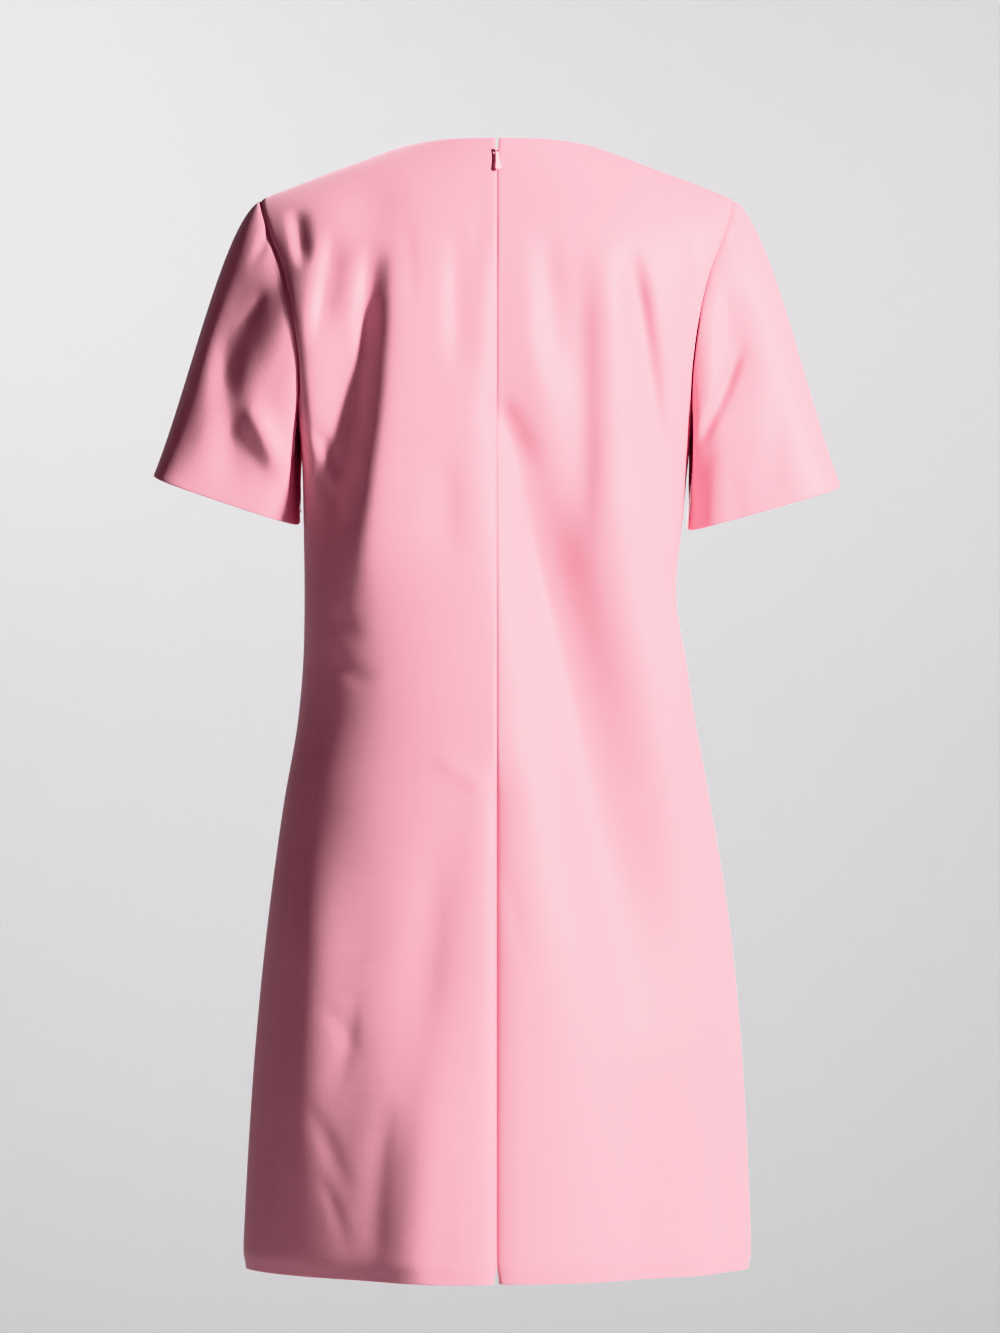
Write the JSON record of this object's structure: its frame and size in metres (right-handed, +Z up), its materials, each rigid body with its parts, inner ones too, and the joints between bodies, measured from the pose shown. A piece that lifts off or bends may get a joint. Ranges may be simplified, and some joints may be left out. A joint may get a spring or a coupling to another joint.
{
  "type": "shift dress",
  "caption": "Worn short-sleeved shift dress, knee length, with a round neck, set-in sleeves and a concealed zip with a drop-shaped pull in the centre-back seam.",
  "frame": {"origin": "midway between the two high shoulder points, where the neckline meets the shoulder seams", "axes": "+Z up along the dress, -Y out of the back with the zip, +Y out of the front, +X towards the wearer's right"},
  "size_m": [0.5814, 0.2926, 0.9473],
  "materials": {
    "cloth": "smooth satin-faced rose pink",
    "zip_tape": "matt woven tape in the colour of the cloth",
    "zip_pull": "gloss paint, paler than the cloth"
  },
  "bodies": {
    "dress": {"front_panel": "cloth", "back_left": "cloth", "back_right": "cloth", "sleeve_left": "cloth", "sleeve_right": "cloth", "zip_tape_left": "zip_tape", "zip_tape_right": "zip_tape", "zip_slider": "zip_pull"},
    "pull_tab": {"zip_pull_tab": "zip_pull"}
  },
  "joints": [
    {"name": "pull_tab_hinge", "type": "hinge", "parent": "dress", "child": "pull_tab", "pos_m": [0, -0.07401, -0.01058], "axis": [-1, 0, 0], "range_deg": [0, 150]}
  ]
}
